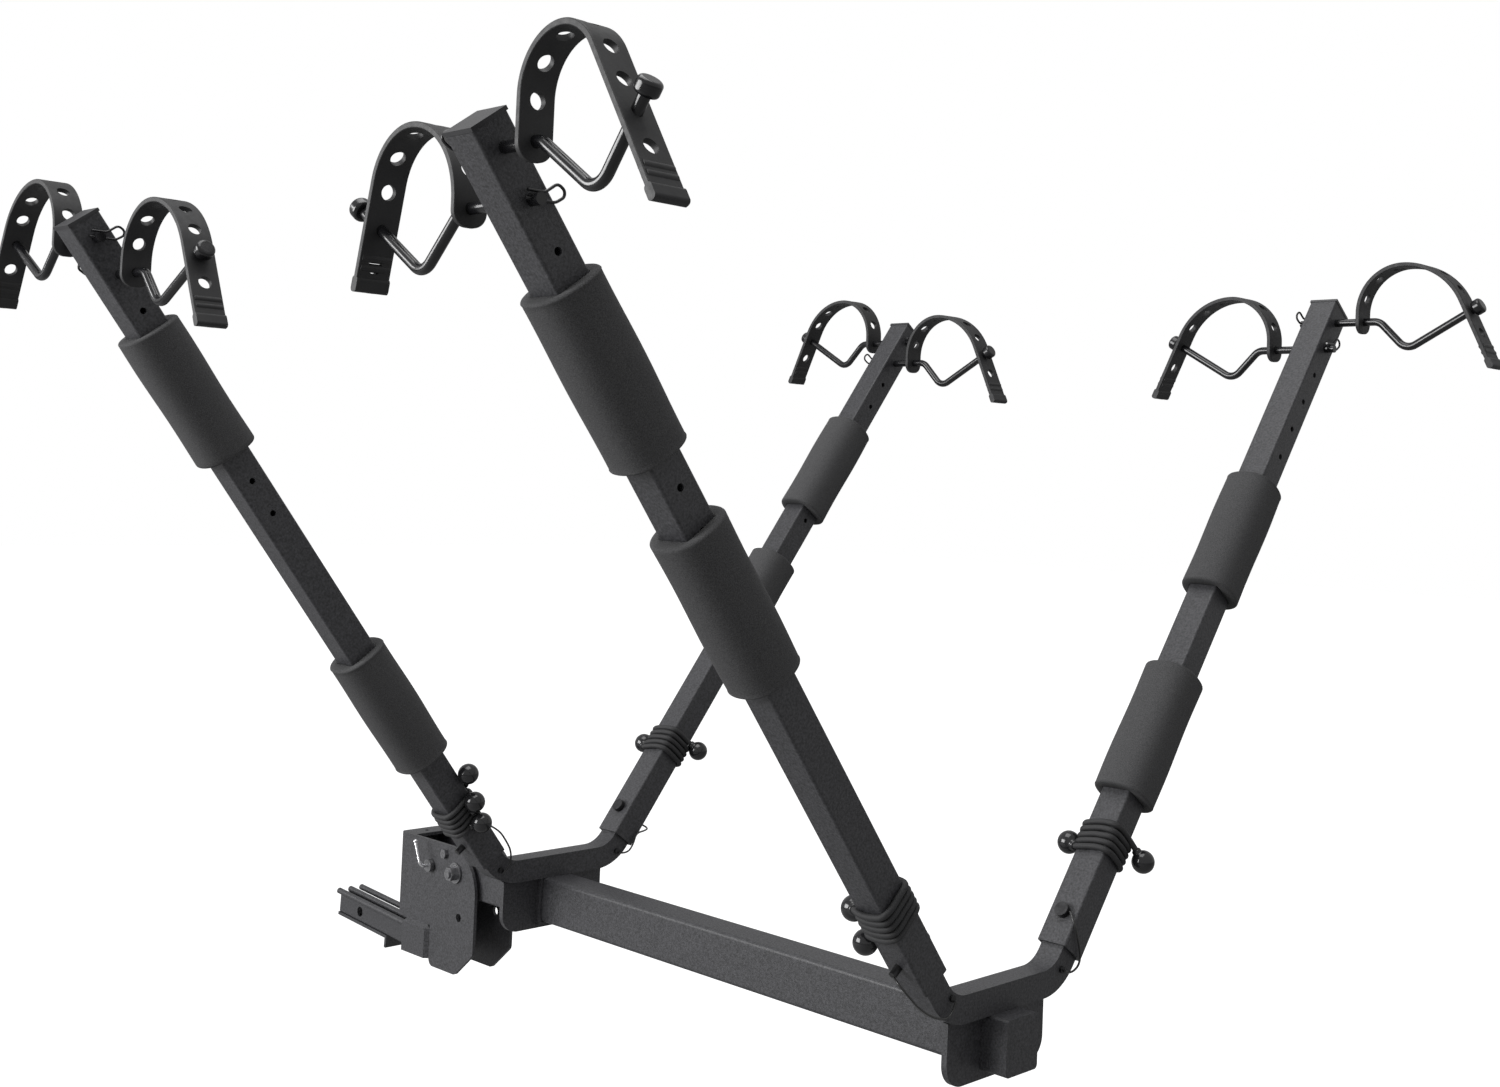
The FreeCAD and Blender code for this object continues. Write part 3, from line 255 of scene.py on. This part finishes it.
def material_rubber():
    """Moulded rubber of the straps, between dull and satin."""
    material, tree, shader = new_material("strap_rubber", (0.02, 0.02, 0.021), 0.55)
    tint(tree, shader, spread(tree, noise(tree, 40, 3), 0, 1), (0.017, 0.017, 0.018), (0.025, 0.025, 0.026))
    tree.links.new(spread(tree, noise(tree, 160, 3), 0.5, 0.62), shader.inputs["Roughness"])
    bump(tree, shader, noise(tree, 600, 3), 0.12, 0.0004)
    shader.inputs["Specular IOR Level"].default_value = 0.35
    return material


def material_dipped():
    """Glossy black dip over the hooks' rods."""
    material, tree, shader = new_material("dipped_steel", (0.006, 0.006, 0.007), 0.2)
    tint(tree, shader, spread(tree, noise(tree, 70, 3), 0, 1), (0.005, 0.005, 0.006), (0.009, 0.009, 0.01))
    tree.links.new(spread(tree, noise(tree, 90, 2), 0.16, 0.26), shader.inputs["Roughness"])
    bump(tree, shader, noise(tree, 120, 2), 0.02, 0.0006)
    return material


def material_plastic(name, colour, roughness, grain):
    """Plastic with slight changes of tone and a fine grain."""
    material, tree, shader = new_material(name, colour, roughness)
    lighter = tuple(c * 1.25 for c in colour)
    tint(tree, shader, spread(tree, noise(tree, 60, 3), 0, 1), colour, lighter)
    bump(tree, shader, noise(tree, 900, 2), grain, 0.0003)
    return material


def material_metal(name, colour, roughness, grain):
    """Metal with slight changes of tone and polish."""
    material, tree, shader = new_material(name, colour, roughness)
    shader.inputs["Metallic"].default_value = 1.0
    darker = tuple(c * 0.75 for c in colour)
    tint(tree, shader, spread(tree, noise(tree, 180, 4), 0, 1), darker, colour)
    tree.links.new(
        spread(tree, noise(tree, 300, 3), roughness * 0.8, roughness * 1.3), shader.inputs["Roughness"]
    )
    bump(tree, shader, noise(tree, 700, 2), grain, 0.0002)
    return material


def material_braid():
    """Woven sheath: fine crossed waves."""
    material, tree, shader = new_material("elastic_cord", (0.016, 0.016, 0.017), 0.7)
    heights = []
    for turn in (0.6, -0.6):
        mapping = tree.nodes.new("ShaderNodeMapping")
        mapping.inputs["Rotation"].default_value = (turn, turn, turn)
        tree.links.new(object_coordinates(tree), mapping.inputs["Vector"])
        wave = tree.nodes.new("ShaderNodeTexWave")
        wave.inputs["Scale"].default_value = 260
        wave.inputs["Distortion"].default_value = 0.4
        tree.links.new(mapping.outputs["Vector"], wave.inputs["Vector"])
        heights.append(wave.outputs["Fac"])
    both = tree.nodes.new("ShaderNodeMath")
    both.operation = "MULTIPLY"
    tree.links.new(heights[0], both.inputs[0])
    tree.links.new(heights[1], both.inputs[1])
    tint(tree, shader, both.outputs["Value"], (0.012, 0.012, 0.013), (0.03, 0.03, 0.032))
    bump(tree, shader, both.outputs["Value"], 0.5, 0.0004)
    return material


make_camera()
make_studio()

POWDER = material_powder_coat()
FOAM = material_foam()
RUBBER = material_rubber()
DIPPED = material_dipped()
BLACK_PLASTIC = material_plastic("black_plastic", (0.02, 0.02, 0.022), 0.4, 0.2)
BALL_PLASTIC = material_plastic("ball_plastic", (0.012, 0.012, 0.013), 0.12, 0.03)
CABLE = material_plastic("cable_cover", (0.015, 0.015, 0.015), 0.3, 0.05)
ZINC = material_metal("zinc_steel", (0.3, 0.3, 0.31), 0.32, 0.2)
DARK_STEEL = material_metal("dark_steel", (0.06, 0.06, 0.062), 0.4, 0.2)
BUSHING = material_metal("bushing_steel", (0.4, 0.39, 0.38), 0.3, 0.15)
BRIGHT = material_metal("handle_steel", (0.8, 0.8, 0.82), 0.14, 0.05)
BRAID = material_braid()
SLOT_MATERIAL = {
    "powder_coat": POWDER, "foam": FOAM, "strap_rubber": RUBBER, "dipped_steel": DIPPED,
    "black_plastic": BLACK_PLASTIC, "ball_plastic": BALL_PLASTIC, "cable_cover": CABLE,
    "zinc_steel": ZINC, "bushing_steel": BUSHING, "handle_steel": BRIGHT, "elastic_cord": BRAID,
}
# The arm pins and the lanyards' rivets are blackened, unlike the bright nut and bolts.
DARK_NODES = (
    "front_left_pin", "front_right_pin", "rear_left_pin", "rear_right_pin", "lanyard_rivets",
)
for subpart in frame["record"]["subparts"]:
    node = frame["nodes"][subpart["node"]]
    node.data.materials.clear()
    dark = subpart["node"] in DARK_NODES
    node.data.materials.append(DARK_STEEL if dark else SLOT_MATERIAL[subpart["material_slot"]])


# ---------------------------------------------------------------- cords
def link_piece(piece, material, body):
    """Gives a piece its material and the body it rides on."""
    piece.data.materials.append(material)
    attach(piece, body)
    return piece


def nurbs_piece(name, points, radius, material, body):
    """A round cord along a smooth spline led by the points."""
    curve = bpy.data.curves.new(name, "CURVE")
    curve.dimensions = "3D"
    curve.bevel_depth = radius
    curve.bevel_resolution = 4
    curve.resolution_u = 10
    curve.use_fill_caps = True
    spline = curve.splines.new("NURBS")
    spline.points.add(len(points) - 1)
    for point, place in zip(spline.points, points):
        point.co = (*place, 1)
    spline.order_u = 3
    spline.use_endpoint_u = True
    piece = bpy.data.objects.new(name, curve)
    bpy.context.collection.objects.link(piece)
    return link_piece(piece, material, body)


CABLE_RADIUS = 1.3 * MM
# Each lanyard's route: across the arm, along its inner normal and up it from the bend, in mm.
LANYARDS = {
    "front_left": (
        (10.9, 24.2, 70), (20, 28, 60), (24, 27, 42), (24, 25, 22), (22, 13, 5), (20.9, 0, 4),
    ),
    "front_right": (
        (3, -34.0, 70), (14, -37, 69), (24, -26, 60), (24, -13, 48), (24, -19, 32), (22, -19, 16),
        (20.9, -5, 9),
    ),
    "rear_left": (
        (3, -34.0, 90), (14, -41, 96), (24, -43, 80), (24, -38, 52), (24, -25, 22), (21, -4, 0),
        (20.9, 11, 10),
    ),
    "rear_right": (
        (10.9, 24.2, 76), (22.2, 25.6, 66), (24, 8, 53), (24, -11, 40), (24, -15, 27), (21, -8, 14),
        (20.9, 2, 13),
    ),
}


def make_lanyard(arm):
    """The cable from one end of an arm's pin, down the rear side, to the rivet at the bend."""
    points = [on_arm(arm, *(v * MM for v in p)) for p in LANYARDS[arm]]
    piece = nurbs_piece(arm + "_lanyard_cable", points, CABLE_RADIUS, CABLE, "rack")
    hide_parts(arm + "_lanyard")


# How far each tie's middle lies below its arm's top, in mm.
TIE_AT = {"front_left": 941, "front_right": 870, "rear_left": 925, "rear_right": 890}
# Each tie's balls, across the arm, along its inner normal and up it from the tie's middle, in mm.
BALLS = {
    "front_left": ((33.0, 28.5, 49.0), (35.5, 13.7, 11.0), (35.5, 6.1, -21.0)),
    "front_right": ((34.0, -31.4, 16.4), (-35.5, 14.6, -8.5)),
    "rear_left": ((-35.5, -11.9, 5.0), (-35.5, -19.3, -38.7)),
    "rear_right": ((38.0, -35.7, 5.5), (-35.5, 17.8, -11.7)),
}
BALL_RADIUS = 14.3 * MM
# The neck on each ball, as radius and distance from the ball's centre.
BALL_NECK = (
    (5.9 * MM, 14.6 * MM), (5.4 * MM, 17.0 * MM), (4.2 * MM, 17.5 * MM), (0.0, 17.5 * MM),
)
BALL_SHARE = 0.86
BALL_STEPS = 19
CORD_START = 15.5 * MM
CORD_RADIUS = 3.7 * MM
CORD_CLEAR = 0.5 * MM
TURNS = 4.2
TURN_PITCH = 8.5 * MM
POINTS_PER_TURN = 16
COIL_SQUARENESS = 7
TIE_TILT = {"front_left": 5.0, "front_right": 4.0, "rear_left": 6.0, "rear_right": 4.0}


def make_ball(name, centre, towards):
    """A moulded ball with a short neck where the cord goes in."""
    profile = []
    for i in range(BALL_STEPS + 1):
        angle = math.pi * i / BALL_STEPS * BALL_SHARE
        profile.append((BALL_RADIUS * math.sin(angle), -BALL_RADIUS * math.cos(angle)))
    profile += BALL_NECK
    mesh = bpy.data.meshes.new(name)
    bm = bmesh.new()
    verts = [bm.verts.new((r, 0, z)) for r, z in profile]
    edges = [bm.edges.new((a, b)) for a, b in zip(verts, verts[1:])]
    bmesh.ops.spin(
        bm, geom=verts + edges, angle=math.tau, steps=36, axis=(0, 0, 1), cent=(0, 0, 0),
        use_merge=True,
    )
    bmesh.ops.remove_doubles(bm, verts=bm.verts, dist=0.02 * MM)
    bmesh.ops.recalc_face_normals(bm, faces=bm.faces)
    turn = (towards - centre).to_track_quat("Z", "Y").to_matrix().to_4x4()
    bm.transform(Matrix.Translation(centre) @ turn)
    for face in bm.faces:
        face.smooth = True
    bm.to_mesh(mesh)
    bm.free()
    piece = bpy.data.objects.new(name, mesh)
    bpy.context.collection.objects.link(piece)
    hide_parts("bungee_balls")
    return link_piece(piece, BALL_PLASTIC, "rack")


def coil_point(turned, along):
    """A point of the tie's winding round the square arm, in the arm's own axes."""
    power = COIL_SQUARENESS
    c, s = math.cos(turned), math.sin(turned)
    reach = (ARM_HALF + CORD_CLEAR + CORD_RADIUS) / (abs(c) ** power + abs(s) ** power) ** (1 / power)
    return (reach * c, reach * s, along)


def make_tie(arm):
    """The elastic cord wound round the arm, from one ball to another."""
    rng = random.Random(arm)
    middle = below_top(arm, TIE_AT[arm] * MM)
    balls = [tuple(v * MM for v in b) for b in BALLS[arm]]
    first, last = balls[0], balls[-1]
    start_turn = math.atan2(first[1], first[0])
    end_turn = math.atan2(last[1], last[0])
    total = TURNS * math.tau
    total += (end_turn - start_turn - total) % math.tau
    way = -1 if last[2] < first[2] else 1
    count = round(total / math.tau * POINTS_PER_TURN)
    tilt = TIE_TILT[arm] * MM
    rise = TURN_PITCH * total / math.tau
    points = []
    for i in range(count + 1):
        turned = start_turn + total * i / count
        along = middle - way * rise / 2 + way * rise * i / count
        along += tilt * math.sin(turned + 0.6) + rng.uniform(-0.5, 0.5) * MM
        points.append(on_arm(arm, *coil_point(turned, along)))
    ball_points = [on_arm(arm, b[0], b[1], middle + b[2]) for b in balls]
    start = ball_points[0] + (points[1] - ball_points[0]).normalized() * CORD_START
    stop = ball_points[-1] + (points[-2] - ball_points[-1]).normalized() * CORD_START
    points = [start] + points[1:-1] + [stop]
    cord = nurbs_piece(arm + "_tie_cord", points, CORD_RADIUS, BRAID, "rack")
    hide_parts(arm + "_bungee")
    for i, centre in enumerate(ball_points):
        towards = points[1] if i == 0 else points[-2]
        make_ball(f"{arm}_tie_ball_{i}", centre, towards)


for arm in ARMS:
    make_lanyard(arm)
    make_tie(arm)


# ---------------------------------------------------------------- foam pads
# How far the middle of each arm's two pads lies below its top, in mm.
PADS = {
    "front_left": (241, 749), "front_right": (317, 600), "rear_left": (247, 512),
    "rear_right": (420, 731),
}
PAD_LENGTH = 182 * MM
PAD_RADIUS = 39.2 * MM
PAD_RIM = 3.5 * MM
PAD_RINGS = 40
PAD_AROUND = 96
BORE_SQUARENESS = 10


def pad_section(turned, swell):
    """Outer section of a foam sleeve: round, drawn slightly square by the tube inside."""
    square = 1 + 0.03 * math.cos(4 * (turned - math.pi / 4))
    reach = (PAD_RADIUS - 0.8 * MM) * square + swell
    return reach * math.cos(turned), reach * math.sin(turned)


def bore_section(turned, grow):
    """Section of a sleeve's square bore."""
    power = BORE_SQUARENESS
    c, s = math.cos(turned), math.sin(turned)
    reach = (ARM_HALF + 0.3 * MM + grow) / (abs(c) ** power + abs(s) ** power) ** (1 / power)
    return reach * c, reach * s


def make_pad(arm, place, from_top):
    """One foam sleeve, with rounded rims and a square bore that grips the tube."""
    rng = random.Random(arm + place)
    around = PAD_AROUND
    low = below_top(arm, from_top * MM) - PAD_LENGTH / 2
    rim = PAD_RIM
    rings = []
    steps = PAD_RINGS
    phase = rng.uniform(0, math.tau)
    for i in range(steps + 1):
        share = i / steps
        swell = 0.5 * MM * math.sin(2.3 * math.pi * share + phase) - 0.25 * MM
        rings.append((rim + (PAD_LENGTH - 2 * rim) * share, swell))
    curl = []
    for i in range(1, 6):
        angle = math.pi / 2 * i / 5
        curl.append((rim * (1 - math.sin(angle)), -rim * (1 - math.cos(angle))))
    profile = [(z, r) for z, r in reversed(curl)] + rings + [(PAD_LENGTH - z, r) for z, r in curl]
    bm = bmesh.new()
    loops = []
    for z, swell in profile:
        loop = []
        for k in range(around):
            turned = math.tau * k / around
            x, y = pad_section(turned, swell)
            wobble = 0.25 * MM * math.sin(3 * turned + phase) * math.sin(math.pi * z / PAD_LENGTH)
            scale = 1 + wobble / PAD_RADIUS
            loop.append(bm.verts.new((x * scale, y * scale, z)))
        loops.append(loop)
    bore_rings = (
        (PAD_LENGTH - 0.2 * MM, 1.6 * MM), (PAD_LENGTH - 1.6 * MM, 0.2 * MM),
        (1.6 * MM, 0.2 * MM), (0.2 * MM, 1.6 * MM),
    )
    for z, grow in bore_rings:
        loop = []
        for k in range(around):
            x, y = bore_section(math.tau * k / around, grow)
            loop.append(bm.verts.new((x, y, z)))
        loops.append(loop)
    for a, b in zip(loops, loops[1:] + loops[:1]):
        for k in range(around):
            bm.faces.new((a[k], a[(k + 1) % around], b[(k + 1) % around], b[k]))
    bmesh.ops.recalc_face_normals(bm, faces=bm.faces)
    for face in bm.faces:
        face.smooth = True
    bm.transform(arm_frame(arm) @ Matrix.Translation((0, 0, low)))
    mesh = bpy.data.meshes.new(f"{arm}_{place}_pad")
    bm.to_mesh(mesh)
    bm.free()
    piece = bpy.data.objects.new(mesh.name, mesh)
    bpy.context.collection.objects.link(piece)
    link_piece(piece, FOAM, "rack")
    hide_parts(arm + "_pads")


for arm in ARMS:
    for place, from_top in zip(("upper", "lower"), PADS[arm]):
        make_pad(arm, place, from_top)
